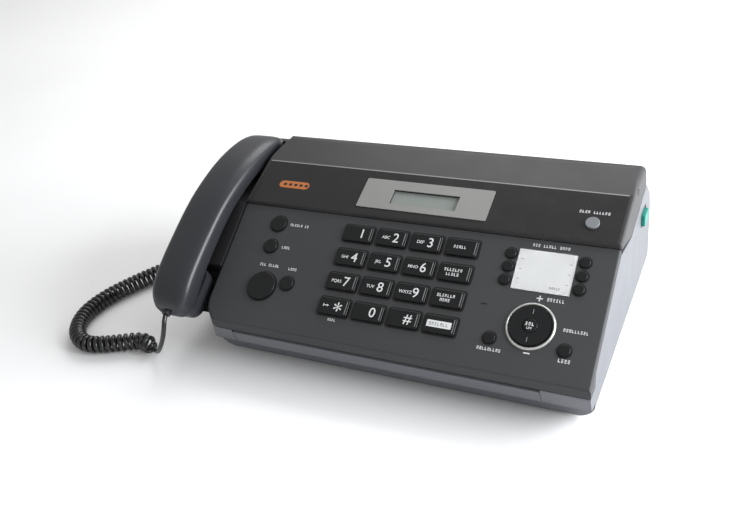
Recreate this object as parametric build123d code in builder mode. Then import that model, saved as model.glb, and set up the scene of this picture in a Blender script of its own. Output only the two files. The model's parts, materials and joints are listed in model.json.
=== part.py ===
from build123d import *

import os
from math import cos, pi, radians, sin, tan

# Desktop fax machine with a corded handset on its left side.
# Frame: +X right, +Y to the back, +Z up, millimetres. The origin lies on the surface that the
# machine stands on, under the middle of the machine with its handset.

# ---------------------------------------------------------------- driving dimensions
WALL = 2.5                      # thickness of the moulded walls
GAP = 0.4                       # visible gap between neighbouring mouldings

CABINET_LEFT = -134.7
CABINET_RIGHT = 177.0
CABINET_FRONT = -98.0
CABINET_REAR = 108.5
CABINET_CORNER = 12.0           # radius of the cabinet's upright corners
FRONT_LEFT_CORNER = 18.0        # the front left corner is rounder than the others
CABINET_KEEL = 16.0             # radius along the cabinet's lower side edges
FLOOR_GAP = 2.5                 # the rubber feet hold the cabinet this high

PANEL_TILT = 30.0               # slope of the operation panel, degrees
PANEL_EDGE_Y = -94.0            # a point on the panel's front edge
PANEL_EDGE_Z = 44.4
GROOVE_Y = -5.7                 # where the panel ends and the top cover begins
PANEL_PLATE = 3.2

COVER_FRONT_Y = GROOVE_Y + 0.2
BAND_START_Z = 98.6             # the cover's front edge stands this high
BAND_TOP = (38.5, 113.6)        # (y, z) where the sloping display band ends
CREST = (79.0, 120.6)           # top of the cover's back, before rounding
CREST_RADIUS = 12.0
COVER_TOP_Z = 119.05            # highest point of the rounded crest
COVER_SHOULDER = 9.0            # radius at both ends of the crest
COVER_HEEL = (86.0, 100.2)      # lowest point of the top cover's back
HINGE = (85.0, 97.5)            # (y, z) of the top cover's hinge line
RIM = (87.6, 95.2)              # the cabinet's rim behind the cover
SHOULDER = (104.5, 79.0)        # foot of the slope where documents go in
REAR_TOP_Z = 66.0

KEY_PITCH_U = 28.8              # across the panel
KEY_PITCH_V = 20.96             # up the panel
FIRST_KEY = (-23.4, 86.6)       # centre of key 1: (x, distance up the panel)
KEY_SIZE = (24.4, 13.4)
KEY_CORNER = 1.6
KEY_PROUD = 2.0
KEY_CLEARANCE = 0.35
FLANGE_LIP = 1.1                # a key's flange is this much wider than its cap
FLANGE_TOP = -3.6               # heights are measured from the panel's face
FLANGE_BOTTOM = -4.7

NAV_CENTRE = (127.2, 34.5)
NAV_DIAMETER = 29.6
SET_DIAMETER = 10.4

HANDSET_LEFT = -177.0
HANDSET_RIGHT = -138.0
CORD_DIAMETER = 3.8
COIL_DIAMETER = 15.0

PANEL = Plane(
    origin=(0, PANEL_EDGE_Y, PANEL_EDGE_Z),
    x_dir=(1, 0, 0),
    z_dir=(0, -sin(radians(PANEL_TILT)), cos(radians(PANEL_TILT))),
)
BAND = Plane(
    origin=(0, COVER_FRONT_Y, BAND_START_Z),
    x_dir=(1, 0, 0),
    z_dir=(0, BAND_START_Z - BAND_TOP[1], BAND_TOP[0] - COVER_FRONT_Y),
)

os.makedirs("parts", exist_ok=True)


# ---------------------------------------------------------------- helpers
def save(builder, name):
    """Label a finished piece and write it to its own file."""
    builder.part.label = name
    export_step(builder.part, f"parts/{name}.step")


def panel_z(y, depth=0.0):
    """Height of the operation panel's face at y, or of a plane that lies depth below it."""
    tilt = radians(PANEL_TILT)
    return PANEL_EDGE_Z + (y - PANEL_EDGE_Y) * tan(tilt) - depth / cos(tilt)


def prism(outline, x_from, x_to, radii=None):
    """A solid with a side outline of (y, z) points, drawn out along X."""
    with BuildPart() as body:
        with BuildSketch(Plane.YZ.offset(x_from)):
            with BuildLine():
                if radii is None:
                    Polyline(*outline, close=True)
                else:
                    FilletPolyline(*outline, radius=radii, close=True)
            make_face()
        extrude(amount=x_to - x_from)
    return body.part


def footprint(inset):
    """The upright block that rounds the cabinet's corners, seen from above."""
    width = CABINET_RIGHT - CABINET_LEFT
    depth = CABINET_REAR - CABINET_FRONT
    centre = ((CABINET_LEFT + CABINET_RIGHT) / 2, (CABINET_FRONT + CABINET_REAR) / 2)
    with BuildPart() as block:
        with BuildSketch() as outline:
            with Locations(centre):
                Rectangle(width - 2 * inset, depth - 2 * inset)
            corners = outline.vertices().sort_by(Axis((0, 0, 0), (1, 1, 0)))
            fillet(corners[0], FRONT_LEFT_CORNER - inset)
            fillet(corners[1:], CABINET_CORNER - inset)
        extrude(amount=200)
    return block.part


def front_profile(inset):
    """The block that rounds the cabinet's lower side edges, seen from the front."""
    left, right, floor = CABINET_LEFT + inset, CABINET_RIGHT - inset, FLOOR_GAP + inset
    with BuildPart() as block:
        with BuildSketch(Plane.XZ.offset(-150)):
            with Locations(((left + right) / 2, floor + 100)):
                RectangleRounded(right - left, 200, CABINET_KEEL - inset)
        extrude(amount=300)
    return block.part


def cylinder_along_x(x_from, x_to, y, z, radius):
    """A round bar that lies along X."""
    with BuildPart() as bar:
        with BuildSketch(Plane.YZ.offset(x_from)):
            with Locations((y, z)):
                Circle(radius)
        extrude(amount=x_to - x_from)
    return bar.part


def box_between(low, high):
    """A block given by its lowest and highest corners."""
    size = [b - a for a, b in zip(low, high)]
    with BuildPart() as block:
        with Locations(low):
            Box(*size, align=(Align.MIN, Align.MIN, Align.MIN))
    return block.part


# ---------------------------------------------------------------- where the keys are
KEYPAD = [
    ["key_1", "key_2", "key_3", "key_flash"],
    ["key_4", "key_5", "key_6", "key_redial"],
    ["key_7", "key_8", "key_9", "key_mute"],
    ["key_star", "key_0", "key_hash", "key_monitor"],
]
RECTANGULAR_KEYS = {
    name: (FIRST_KEY[0] + column * KEY_PITCH_U, FIRST_KEY[1] - row * KEY_PITCH_V)
    for row, names in enumerate(KEYPAD)
    for column, name in enumerate(names)
}
# name: (x, distance up the panel, diameter, height above the panel)
ROUND_KEYS = {
    "caller_id_key": (-96.6, 86.5, 13.4, 1.4),
    "stop_key": (-96.4, 65.9, 11.4, 1.4),
    "start_key": (-91.2, 30.8, 23.6, 2.0),
    "copy_key": (-70.2, 36.2, 11.2, 1.4),
    "broadcast_key": (100.6, 20.9, 8.6, 1.4),
    "menu_key": (153.9, 20.9, 8.6, 1.4),
}
ONE_TOUCH_COLUMNS = (100.4, 154.4)
ONE_TOUCH_TOP = 87.9
ONE_TOUCH_PITCH = 10.62
for side, column_x in enumerate(ONE_TOUCH_COLUMNS):
    for row in range(3):
        key_number = 3 * side + row + 1
        key_v = ONE_TOUCH_TOP - row * ONE_TOUCH_PITCH
        ROUND_KEYS[f"one_touch_{key_number}"] = (column_x, key_v, 7.6, 1.4)
CARD = (105.8, 148.8, 60.8, 93.2)      # left, right, low, high on the panel
CARD_BED = 0.8                         # depth of the card's bed
CARD_THICKNESS = 0.5
ANSWER_KEY = (152.8, 16.5, 10.4, 1.6)  # on the display band


# ---------------------------------------------------------------- cabinet
base_outline = [
    (-81.0, FLOOR_GAP),
    (-84.5, 20.5),
    (-94.5, 22.0),
    (CABINET_FRONT, 34.0),
    (CABINET_FRONT + 0.1, 35.6),
    (-85.0, 35.6),
    (-83.3, panel_z(-83.3, 3.5)),
    (-6.4, panel_z(-6.4, 3.5)),
    (31.6, 82.7),
    (84.3, 94.6),
    RIM,
    SHOULDER,
    (CABINET_REAR, REAR_TOP_Z),
    (CABINET_REAR, FLOOR_GAP),
]
base_radii = [1.0, 0, 1.0, 2.0, 0, 0, 0, 0, 0, 0, 0, 10.0, 10.0, 1.5]
base_hollow = [
    (-78.5, FLOOR_GAP + WALL),
    (-82.1, 22.9),
    (-92.6, 24.4),
    (CABINET_FRONT + WALL, 34.0),
    (CABINET_FRONT + WALL, 140.0),
    (84.0, 140.0),
    (84.0, 92.6),
    (102.2, 77.9),
    (CABINET_REAR - WALL, 65.5),
    (CABINET_REAR - WALL, FLOOR_GAP + WALL),
]
EXIT_LEFT = -107.0
EXIT_RIGHT = 142.5
exit_cut = [(-100.0, 19.0), (-84.9, 19.0), (-84.9, 60.0), (-100.0, 60.0)]
JACK_CENTRES = (-72.0, -50.0)
JACK_Z = 20.0
INLET = (118.0, 146.0, 12.0, 32.0)     # x and z limits of the mains inlet
LEVER_SLOT = (68.5, 88.5, 66.0, 79.0)  # y and z limits, in the right wall
TAIL_SOCKET = (-134.7, 50.0, 20.0)
SOCKET_REACH = 5.0

base_block = prism(base_outline, CABINET_LEFT, CABINET_RIGHT, base_radii)
base_room = prism(base_hollow, CABINET_LEFT, CABINET_RIGHT)
inner_footprint = footprint(WALL)
base_room = base_room & inner_footprint & front_profile(WALL)

with BuildPart() as base_chassis:
    add(base_block)
    add(footprint(0), mode=Mode.INTERSECT)
    add(front_profile(0), mode=Mode.INTERSECT)
    add(base_room, mode=Mode.SUBTRACT)
    add(prism(exit_cut, EXIT_LEFT, EXIT_RIGHT), mode=Mode.SUBTRACT)
    # windows in the rear wall for the line jacks and the mains inlet
    with BuildSketch(Plane.XZ.offset(-CABINET_REAR - 1)):
        with Locations(*[(x, JACK_Z) for x in JACK_CENTRES]):
            Rectangle(17.0, 17.0)
        with Locations(((INLET[0] + INLET[1]) / 2, (INLET[2] + INLET[3]) / 2)):
            Rectangle(INLET[1] - INLET[0], INLET[3] - INLET[2])
    extrude(amount=WALL + 2, mode=Mode.SUBTRACT)
    # slot in the right wall for the cover's release lever
    slot_centre = ((LEVER_SLOT[0] + LEVER_SLOT[1]) / 2, (LEVER_SLOT[2] + LEVER_SLOT[3]) / 2)
    with BuildSketch(Plane.YZ.offset(CABINET_RIGHT - WALL - 1)):
        with Locations(slot_centre):
            RectangleRounded(LEVER_SLOT[1] - LEVER_SLOT[0], LEVER_SLOT[3] - LEVER_SLOT[2], 2.5)
    extrude(amount=WALL + 2, mode=Mode.SUBTRACT)
    # socket for the handset cord on the left wall
    with BuildSketch(Plane.YZ.offset(TAIL_SOCKET[0] - SOCKET_REACH)):
        with Locations((TAIL_SOCKET[1], TAIL_SOCKET[2])):
            RectangleRounded(13.0, 12.0, 1.5)
    extrude(amount=SOCKET_REACH + 1.0)
    # pillars under the panel
    with BuildSketch(Plane.XY.offset(FLOOR_GAP + WALL - 0.5)):
        with Locations((-116.0, -60.0), (160.0, -60.0), (-116.0, 60.0)):
            Circle(4.0)
    extrude(amount=30.0)
save(base_chassis, "base_chassis")

with BuildPart() as document_exit_guide:
    guide_outline = [
        (-85.3, 20.8),
        (-94.4, 22.1),
        (CABINET_FRONT + 0.1, 33.3),
        (-96.4, 34.1),
        (-76.0, 39.6),
        (-76.0, 37.2),
        (-94.9, 31.6),
        (-92.6, 24.4),
        (-85.3, 23.2),
    ]
    add(prism(guide_outline, EXIT_LEFT + GAP, EXIT_RIGHT - GAP))
save(document_exit_guide, "document_exit_guide")

# ---------------------------------------------------------------- operation panel
panel_outline = [
    (CABINET_FRONT + 0.05, 36.2),
    (CABINET_FRONT + 1.0, panel_z(CABINET_FRONT + 1.0)),
    (GROOVE_Y - GAP, panel_z(GROOVE_Y - GAP)),
    (GROOVE_Y - GAP, 36.2),
]
under_panel = [
    (-85.6, 30.0),
    (-85.6, 36.2),
    (-83.9, panel_z(-83.9, PANEL_PLATE)),
    (0.0, panel_z(0.0, PANEL_PLATE)),
    (0.0, 30.0),
]
lip_room = [(-95.4, 30.0), (-95.4, 39.8), (-80.0, 48.6), (-80.0, 30.0)]
panel_block = prism(panel_outline, CABINET_LEFT, CABINET_RIGHT)
panel_block = panel_block & footprint(0)
lip_hollow = prism(lip_room, CABINET_LEFT + WALL, CABINET_RIGHT - WALL) & inner_footprint
card_centre = ((CARD[0] + CARD[1]) / 2, (CARD[2] + CARD[3]) / 2)

with BuildPart() as operation_panel:
    add(panel_block)
    top_face = operation_panel.faces().sort_by(Axis(PANEL.origin, PANEL.z_dir))[-1]
    rim = [edge for edge in top_face.edges() if (edge @ 0.5).Y < GROOVE_Y - 2]
    fillet(rim, 2.0)
    add(prism(under_panel, CABINET_LEFT, CABINET_RIGHT), mode=Mode.SUBTRACT)
    add(lip_hollow, mode=Mode.SUBTRACT)
    # openings for the keys
    with BuildSketch(PANEL.offset(1.0)):
        for key_u, key_v in RECTANGULAR_KEYS.values():
            with Locations((key_u, key_v)):
                RectangleRounded(
                    KEY_SIZE[0] + 2 * KEY_CLEARANCE,
                    KEY_SIZE[1] + 2 * KEY_CLEARANCE,
                    KEY_CORNER + KEY_CLEARANCE,
                )
        for key_u, key_v, diameter, proud in ROUND_KEYS.values():
            with Locations((key_u, key_v)):
                Circle(diameter / 2 + KEY_CLEARANCE)
        with Locations(NAV_CENTRE):
            Circle(NAV_DIAMETER / 2 + KEY_CLEARANCE)
    extrude(amount=-PANEL_PLATE - 2.0, mode=Mode.SUBTRACT)
    # shallow bed for the directory card
    with BuildSketch(PANEL.offset(-CARD_BED)):
        with Locations(card_centre):
            Rectangle(CARD[1] - CARD[0], CARD[3] - CARD[2])
    extrude(amount=3.0, mode=Mode.SUBTRACT)
save(operation_panel, "operation_panel")

with BuildPart() as directory_card:
    with BuildSketch(PANEL.offset(-CARD_BED)):
        with Locations(card_centre):
            Rectangle(CARD[1] - CARD[0] - 0.6, CARD[3] - CARD[2] - 0.6)
    extrude(amount=CARD_THICKNESS)
save(directory_card, "directory_card")


# ---------------------------------------------------------------- keys
def save_key(name, plane, place, cap_sketch, flange_sketch, proud, edge):
    """A push key: a cap that stands out of its opening, on a flange that keeps it in."""
    with BuildPart() as key:
        with BuildSketch(plane.offset(FLANGE_BOTTOM)):
            with Locations(place):
                flange_sketch()
        extrude(amount=FLANGE_TOP - FLANGE_BOTTOM)
        with BuildSketch(plane.offset(FLANGE_TOP)):
            with Locations(place):
                cap_sketch()
        extrude(amount=proud - FLANGE_TOP)
        crown = key.faces().sort_by(Axis(plane.origin, plane.z_dir))[-1]
        fillet(crown.edges(), edge)
    save(key, name)


for key_name, key_place in RECTANGULAR_KEYS.items():
    save_key(
        key_name,
        PANEL,
        key_place,
        lambda: RectangleRounded(*KEY_SIZE, KEY_CORNER),
        lambda: Rectangle(KEY_SIZE[0] + 2 * FLANGE_LIP, KEY_SIZE[1] + 2 * FLANGE_LIP),
        KEY_PROUD,
        0.9,
    )

for key_name, (key_u, key_v, key_diameter, key_proud) in ROUND_KEYS.items():
    save_key(
        key_name,
        PANEL,
        (key_u, key_v),
        lambda: Circle(key_diameter / 2),
        lambda: Circle(key_diameter / 2 + FLANGE_LIP),
        key_proud,
        0.6,
    )

save_key(
    "auto_answer_key",
    BAND,
    ANSWER_KEY[:2],
    lambda: Circle(ANSWER_KEY[2] / 2),
    lambda: Circle(ANSWER_KEY[2] / 2 + FLANGE_LIP),
    ANSWER_KEY[3],
    0.6,
)

with BuildPart() as navigation_key:
    with BuildSketch(PANEL.offset(FLANGE_BOTTOM)):
        with Locations(NAV_CENTRE):
            Circle(NAV_DIAMETER / 2 + FLANGE_LIP)
            Circle(SET_DIAMETER / 2 + FLANGE_LIP + 2 * KEY_CLEARANCE, mode=Mode.SUBTRACT)
    extrude(amount=FLANGE_TOP - FLANGE_BOTTOM)
    with BuildSketch(PANEL.offset(FLANGE_TOP)):
        with Locations(NAV_CENTRE):
            Circle(NAV_DIAMETER / 2)
            Circle(SET_DIAMETER / 2 + FLANGE_LIP + 2 * KEY_CLEARANCE, mode=Mode.SUBTRACT)
    extrude(amount=1.8 - FLANGE_TOP)
    with BuildSketch(PANEL.offset(0.6)):
        with Locations(NAV_CENTRE):
            Circle(SET_DIAMETER / 2 + FLANGE_LIP + 1.0)
            Circle(SET_DIAMETER / 2 + KEY_CLEARANCE, mode=Mode.SUBTRACT)
    extrude(amount=1.2)
save(navigation_key, "navigation_key")

save_key(
    "set_key",
    PANEL,
    NAV_CENTRE,
    lambda: Circle(SET_DIAMETER / 2),
    lambda: Circle(SET_DIAMETER / 2 + FLANGE_LIP),
    2.2,
    0.6,
)

# ---------------------------------------------------------------- top cover
COVER_LEFT = CABINET_LEFT + 0.3
cover_outline = [
    (COVER_FRONT_Y, 95.2),
    (COVER_FRONT_Y, BAND_START_Z),
    BAND_TOP,
    CREST,
    COVER_HEEL,
    (84.0, 95.5),
    (31.6, 83.4),
]
cover_radii = [0, 1.5, 0, CREST_RADIUS, 0, 0, 0]
cover_room = [
    (COVER_FRONT_Y + WALL, 70.0),
    (COVER_FRONT_Y + WALL, 96.5),
    (39.0, 110.8),
    (74.6, 116.2),
    (83.2, 97.4),
    (83.2, 70.0),
]
COVER_CHEEK = 5.0                       # thickness of the cover's ends
BAND_PLATE = 1.4
BAND_LENGTH = 45.6
BAND_INSET = 3.2
BAND_EDGE = 0.6                         # the band starts this far behind the cover's front edge
LCD_PLATE = (-33.7, 74.7, 6.8, 36.7)    # left, right, low, high on the band
LCD_WINDOW = (-7.0, 48.6, 12.8, 27.4)

LCD_PLATE_THICKNESS = 0.7
LCD_MODULE_HEIGHT = 3.6
band_middle = ((CABINET_LEFT + CABINET_RIGHT) / 2, BAND_LENGTH / 2 + BAND_EDGE)
band_width = CABINET_RIGHT - CABINET_LEFT - 2 * BAND_INSET
plate_middle = ((LCD_PLATE[0] + LCD_PLATE[1]) / 2, (LCD_PLATE[2] + LCD_PLATE[3]) / 2)
plate_size = (LCD_PLATE[1] - LCD_PLATE[0], LCD_PLATE[3] - LCD_PLATE[2])
window_middle = ((LCD_WINDOW[0] + LCD_WINDOW[1]) / 2, (LCD_WINDOW[2] + LCD_WINDOW[3]) / 2)
window_width = LCD_WINDOW[1] - LCD_WINDOW[0]
window_height = LCD_WINDOW[3] - LCD_WINDOW[2]

cover_block = prism(cover_outline, COVER_LEFT, CABINET_RIGHT, cover_radii)
cover_block = cover_block & footprint(0)
with BuildPart() as shoulder_block:
    # rounds both ends of the crest, seen from the front
    with BuildSketch(Plane.XZ.offset(-150)):
        with Locations(((COVER_LEFT + CABINET_RIGHT) / 2, COVER_TOP_Z - 100)):
            RectangleRounded(CABINET_RIGHT - COVER_LEFT, 200, COVER_SHOULDER)
    extrude(amount=300)
cover_block = cover_block & shoulder_block.part

with BuildPart() as top_cover:
    add(cover_block)
    side_rims = [
        edge
        for edge in top_cover.edges()
        if edge.bounding_box().size.X < 0.01
        and edge.bounding_box().min.Z > BAND_START_Z - 1
        and edge.bounding_box().max.Z < COVER_TOP_Z - COVER_SHOULDER + 1
        and (edge @ 0.5).Y < BAND_TOP[0]
    ]
    fillet(side_rims, 2.0)
    add(prism(cover_room, COVER_LEFT + COVER_CHEEK, CABINET_RIGHT - COVER_CHEEK), mode=Mode.SUBTRACT)
    # bed that the display band lies in
    with BuildSketch(BAND):
        with Locations(band_middle):
            Rectangle(band_width, BAND_LENGTH)
    extrude(amount=-BAND_PLATE, mode=Mode.SUBTRACT)
    # openings for the display and the auto answer key
    with BuildSketch(BAND):
        with Locations(window_middle):
            Rectangle(window_width + 4.0, window_height + 4.0)
        with Locations(ANSWER_KEY[:2]):
            Circle(ANSWER_KEY[2] / 2 + KEY_CLEARANCE)
    extrude(amount=-8.0, mode=Mode.SUBTRACT)
    # barrels of the two hinges, round about the hinge line
    for barrel_x in (-124.0, 150.0):
        add(cylinder_along_x(barrel_x, barrel_x + 16.0, *HINGE, 2.2))
save(top_cover, "top_cover")

with BuildPart() as display_band:
    with BuildSketch(BAND.offset(-BAND_PLATE)):
        with Locations(band_middle):
            Rectangle(band_width, BAND_LENGTH)
        with Locations(window_middle):
            Rectangle(window_width, window_height, mode=Mode.SUBTRACT)
        with Locations(ANSWER_KEY[:2]):
            Circle(ANSWER_KEY[2] / 2 + KEY_CLEARANCE, mode=Mode.SUBTRACT)
    extrude(amount=BAND_PLATE)
save(display_band, "display_band")

with BuildPart() as lcd_bezel:
    with BuildSketch(BAND):
        with Locations(plate_middle):
            RectangleRounded(*plate_size, 1.2)
        with Locations(window_middle):
            Rectangle(window_width, window_height, mode=Mode.SUBTRACT)
    extrude(amount=LCD_PLATE_THICKNESS)
save(lcd_bezel, "lcd_bezel")

with BuildPart() as lcd_module:
    with BuildSketch(BAND.offset(-BAND_PLATE - LCD_MODULE_HEIGHT)):
        with Locations(window_middle):
            Rectangle(window_width + 3.2, window_height + 3.2)
    extrude(amount=LCD_MODULE_HEIGHT)
save(lcd_module, "lcd_module")

# ---------------------------------------------------------------- release lever and guides
LEVER_MIDDLE = (77.0, 72.5)
LEVER_TAB = (15.0, 10.0)
LEVER_PLATE = (26.0, 22.0)
LEVER_PROUD = 3.0
with BuildPart() as release_lever:
    with BuildSketch(Plane.YZ.offset(CABINET_RIGHT - WALL - 3.2)):
        with Locations(LEVER_MIDDLE):
            Rectangle(*LEVER_PLATE)
    extrude(amount=2.4)
    with BuildSketch(Plane.YZ.offset(CABINET_RIGHT - WALL - 1.0)):
        with Locations(LEVER_MIDDLE):
            RectangleRounded(*LEVER_TAB, 2.0)
    extrude(amount=WALL + 1.0 + LEVER_PROUD)
    fillet(release_lever.faces().sort_by(Axis.X)[-1].edges(), 1.0)
save(release_lever, "release_lever")

GUIDE_REACH = 110.0                     # a guide's distance from the middle
GUIDE_LENGTH = 18.0
slope = Vector(0, SHOULDER[0] - RIM[0], SHOULDER[1] - RIM[1]).normalized()
guide_middle = Vector(0, *RIM) + slope * (GUIDE_LENGTH / 2 + 1.2)
REAR_SLOPE = Plane(origin=guide_middle, x_dir=(1, 0, 0), z_dir=(0, -slope.Z, slope.Y))
for guide_name, guide_x in (("document_guide_left", -GUIDE_REACH), ("document_guide_right", GUIDE_REACH)):
    with BuildPart() as document_guide:
        with BuildSketch(REAR_SLOPE.offset(0.3)):
            with Locations((guide_x, 0)):
                RectangleRounded(12.0, GUIDE_LENGTH, 2.0)
        extrude(amount=2.0)
        with BuildSketch(REAR_SLOPE.offset(2.3)):
            with Locations((guide_x + (4.5 if guide_x > 0 else -4.5), 0)):
                RectangleRounded(3.0, GUIDE_LENGTH, 1.2)
        extrude(amount=5.5)
    save(document_guide, guide_name)

# ---------------------------------------------------------------- paper path and works
ROLL_CENTRE = (56.0, 66.0)
ROLL_RADIUS = 24.0
with BuildPart() as paper_roll:
    add(cylinder_along_x(-108.0, 108.0, *ROLL_CENTRE, ROLL_RADIUS))
    for end_x, inward in ((-108.0, 1), (108.0, -1)):
        with BuildSketch(Plane.YZ.offset(end_x)):
            with Locations(ROLL_CENTRE):
                Circle(6.4)
        extrude(amount=2.0 * inward, mode=Mode.SUBTRACT)
save(paper_roll, "paper_roll")

PLATEN_CENTRE = (16.0, 92.0)
PLATEN_RADIUS = 6.5
with BuildPart() as platen_roller:
    add(cylinder_along_x(-110.0, 110.0, *PLATEN_CENTRE, PLATEN_RADIUS))
    add(cylinder_along_x(-122.0, 122.0, *PLATEN_CENTRE, 2.5))
save(platen_roller, "platen_roller")

HEAD_TOP = PLATEN_CENTRE[1] - PLATEN_RADIUS - 0.4
with BuildPart() as thermal_head:
    head_outline = [
        (6.0, HEAD_TOP - 1.5),
        (8.0, HEAD_TOP),
        (24.0, HEAD_TOP),
        (24.0, HEAD_TOP - 6.0),
        (21.0, HEAD_TOP - 6.0),
        (21.0, HEAD_TOP - 16.0),
        (18.0, HEAD_TOP - 16.0),
        (18.0, HEAD_TOP - 6.0),
        (6.0, HEAD_TOP - 6.0),
    ]
    add(prism(head_outline, -112.0, 112.0))
save(thermal_head, "thermal_head")

SENSOR = (-112.0, 112.0, -70.0, -52.0, 30.0, 43.0)
with BuildPart() as image_sensor:
    add(box_between((SENSOR[0], SENSOR[2], SENSOR[4]), (SENSOR[1], SENSOR[3], SENSOR[5])))
    top_edges = image_sensor.edges().filter_by(Axis.X).group_by(Axis.Z)[-1]
    chamfer(top_edges, 2.0)
save(image_sensor, "image_sensor")

# gear pair between the motor and the document feed roller
GEAR_MODULE = 1.0
FEED_TEETH = 28
PINION_TEETH = 10
FEED_CENTRE = (-36.0, 49.5)
GEAR_X = (158.0, 163.0)
GEAR_DISTANCE = GEAR_MODULE * (FEED_TEETH + PINION_TEETH) / 2
MOTOR_CENTRE = (FEED_CENTRE[0], FEED_CENTRE[1] - GEAR_DISTANCE)


def gear(teeth, centre, first_angle):
    """A spur gear on an axle along X, with straight-sided teeth and room for backlash."""
    root = GEAR_MODULE * (teeth / 2 - 1.25)
    tip = GEAR_MODULE * (teeth / 2 + 0.8)
    step = 2 * pi / teeth
    outline = []
    for tooth in range(teeth):
        middle = first_angle + tooth * step
        for share, radius in ((-0.27, root), (-0.12, tip), (0.12, tip), (0.27, root)):
            angle = middle + share * step
            outline.append((centre[0] + radius * cos(angle), centre[1] + radius * sin(angle)))
    return prism(outline, *GEAR_X)


with BuildPart() as feed_roller:
    add(cylinder_along_x(-124.0, 166.0, *FEED_CENTRE, 3.0))
    for roller_x in (-90.0, -30.0, 30.0, 90.0):
        add(cylinder_along_x(roller_x - 14.0, roller_x + 14.0, *FEED_CENTRE, 7.5))
    # a tooth of the gear points straight down, into a gap of the pinion
    add(gear(FEED_TEETH, FEED_CENTRE, -pi / 2))
save(feed_roller, "feed_roller")

with BuildPart() as motor_pinion:
    add(gear(PINION_TEETH, MOTOR_CENTRE, pi / 2 + pi / PINION_TEETH))
    add(cylinder_along_x(GEAR_X[0] - 4.0, GEAR_X[0], *MOTOR_CENTRE, 2.0))
save(motor_pinion, "motor_pinion")

with BuildPart() as stepper_motor:
    add(cylinder_along_x(130.0, 152.0, *MOTOR_CENTRE, 14.0))
    add(box_between((152.0, MOTOR_CENTRE[0] - 20.0, MOTOR_CENTRE[1] - 8.0),
                    (153.4, MOTOR_CENTRE[0] + 20.0, MOTOR_CENTRE[1] + 8.0)))
save(stepper_motor, "stepper_motor")

# ---------------------------------------------------------------- electronics
BOARD_Z = 9.0
BOARD_THICKNESS = 1.6
with BuildPart() as circuit_boards:
    # main board on the cabinet's floor, with its larger components
    add(box_between((-100.0, 16.0, BOARD_Z), (60.0, 88.0, BOARD_Z + BOARD_THICKNESS)))
    for chip_x, chip_y, chip_size, chip_height in (
        (-60.0, 40.0, 20.0, 2.4),
        (-20.0, 36.0, 14.0, 2.0),
        (20.0, 46.0, 24.0, 3.0),
        (-84.0, 62.0, 12.0, 6.0),
        (44.0, 70.0, 10.0, 9.0),
    ):
        half = chip_size / 2
        chip_floor = BOARD_Z + BOARD_THICKNESS
        add(box_between((chip_x - half, chip_y - half, chip_floor),
                        (chip_x + half, chip_y + half, chip_floor + chip_height)))
    # key board behind the operation panel
    with BuildSketch(PANEL.offset(-8.2)):
        with Locations((25.0, 51.0)):
            Rectangle(284.0, 92.0)
    extrude(amount=1.4)
save(circuit_boards, "circuit_boards")

with BuildPart() as power_unit:
    add(box_between((78.0, 24.0, BOARD_Z), (160.0, 98.0, BOARD_Z + BOARD_THICKNESS)))
    add(box_between((88.0, 36.0, BOARD_Z + BOARD_THICKNESS), (114.0, 62.0, 32.0)))
    for can_x, can_y in ((130.0, 36.0), (146.0, 36.0), (130.0, 54.0)):
        with BuildSketch(Plane.XY.offset(BOARD_Z + BOARD_THICKNESS)):
            with Locations((can_x, can_y)):
                Circle(6.0)
        extrude(amount=19.0)
    # mains inlet with its recess and two pins
    inlet_low = (INLET[0] + GAP, 84.0, INLET[2] + GAP)
    inlet_high = (INLET[1] - GAP, CABINET_REAR - 0.3, INLET[3] - GAP)
    add(box_between(inlet_low, inlet_high))
    recess_low = (INLET[0] + 3.0, 92.0, INLET[2] + 3.0)
    recess_high = (INLET[1] - 3.0, CABINET_REAR, INLET[3] - 3.0)
    add(box_between(recess_low, recess_high), mode=Mode.SUBTRACT)
    inlet_x = (INLET[0] + INLET[1]) / 2
    inlet_z = (INLET[2] + INLET[3]) / 2
    with BuildSketch(Plane.XZ.offset(-91.0)):
        with Locations((inlet_x - 4.3, inlet_z), (inlet_x + 4.3, inlet_z)):
            Circle(1.2)
    extrude(amount=-12.0)
save(power_unit, "power_unit")

with BuildPart() as line_jacks:
    for jack_x in JACK_CENTRES:
        body_low = (jack_x - 8.2, 88.5, JACK_Z - 8.2)
        body_high = (jack_x + 8.2, CABINET_REAR - 0.2, JACK_Z + 8.2)
        add(box_between(body_low, body_high))
        # room for the plug, and for its latch
        plug_low = (jack_x - 4.9, 95.0, JACK_Z - 4.0)
        plug_high = (jack_x + 4.9, CABINET_REAR, JACK_Z + 3.2)
        add(box_between(plug_low, plug_high), mode=Mode.SUBTRACT)
        latch_low = (jack_x - 2.0, 97.0, JACK_Z + 3.0)
        latch_high = (jack_x + 2.0, CABINET_REAR, JACK_Z + 5.6)
        add(box_between(latch_low, latch_high), mode=Mode.SUBTRACT)
save(line_jacks, "line_jacks")

with BuildPart() as rubber_feet:
    with BuildSketch():
        with Locations((-110.0, -64.0), (152.0, -64.0), (-110.0, 90.0), (152.0, 90.0)):
            Circle(7.0)
    extrude(amount=FLOOR_GAP)
save(rubber_feet, "rubber_feet")

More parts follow.
